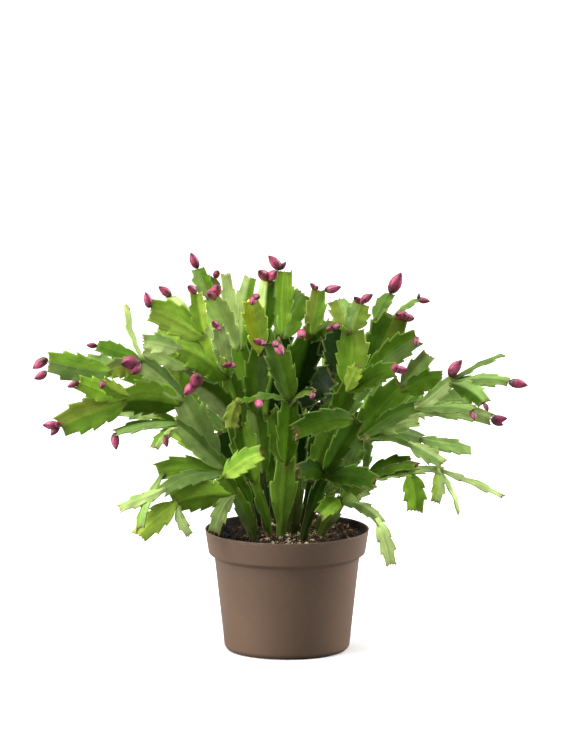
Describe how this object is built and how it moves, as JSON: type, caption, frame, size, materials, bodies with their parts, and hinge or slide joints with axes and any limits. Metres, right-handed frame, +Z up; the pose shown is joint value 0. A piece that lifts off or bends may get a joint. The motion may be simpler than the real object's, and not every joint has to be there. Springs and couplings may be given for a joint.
{
  "type": "potted thanksgiving cactus",
  "caption": "Potted Thanksgiving cactus: arching stems of flat toothed segments with pink flower buds at their tips, in a tapered brown nursery pot filled with soil.",
  "frame": {"origin": "centre of the pot's foot, on the surface that it stands on", "axes": "+Z up along the pot's axis; -Y towards the front of the plant; +X to the right as seen from the front"},
  "size_m": [0.3607, 0.2418, 0.2878],
  "materials": {
    "pot": "smooth injection-moulded plastic, dark taupe brown",
    "soil": "dark crumbly peat",
    "stem": "waxy green plant skin, lime to dark green",
    "bud": "satin magenta-pink petals, darker at the base and tip"
  },
  "bodies": {
    "root": {"pot": "pot", "soil": "soil", "stem_back": "stem", "stem_back_left": "stem", "stem_back_low": "stem", "stem_back_right": "stem", "stem_centre": "stem", "stem_centre_left": "stem", "stem_front": "stem", "stem_front_right": "stem", "stem_left_arm": "stem", "stem_left_front": "stem", "stem_left_low": "stem", "stem_left_mid": "stem", "stem_right_high": "stem", "stem_right_low": "stem", "stem_right_mid": "stem", "buds_01_left_arm": "bud", "buds_02_left_arm": "bud", "buds_03_left_arm": "bud", "buds_04_left_arm": "bud", "buds_05_left_arm": "bud", "buds_06_left_arm": "bud", "buds_07_left_arm": "bud", "buds_08_left_low": "bud", "buds_09_left_low": "bud", "buds_10_left_mid": "bud", "buds_11_left_mid": "bud", "buds_12_left_mid": "bud", "buds_13_left_mid": "bud", "buds_14_left_mid": "bud", "buds_15_left_mid": "bud", "buds_16_centre_left": "bud", "buds_17_centre_left": "bud", "buds_18_centre_left": "bud", "buds_19_centre_left": "bud", "buds_20_centre_left": "bud", "buds_21_centre": "bud", "buds_22_centre": "bud", "buds_23_centre": "bud", "buds_24_centre": "bud", "buds_25_centre": "bud", "buds_26_front": "bud", "buds_27_front": "bud", "buds_28_front": "bud", "buds_29_front": "bud", "buds_30_right_high": "bud", "buds_31_right_high": "bud", "buds_32_right_high": "bud", "buds_33_right_high": "bud", "buds_34_right_high": "bud", "buds_35_right_high": "bud", "buds_36_right_mid": "bud", "buds_37_right_mid": "bud", "buds_38_right_mid": "bud", "buds_39_right_mid": "bud", "buds_40_right_mid": "bud", "buds_41_back_left": "bud", "buds_42_back_left": "bud", "buds_43_back": "bud"}
  },
  "joints": []
}
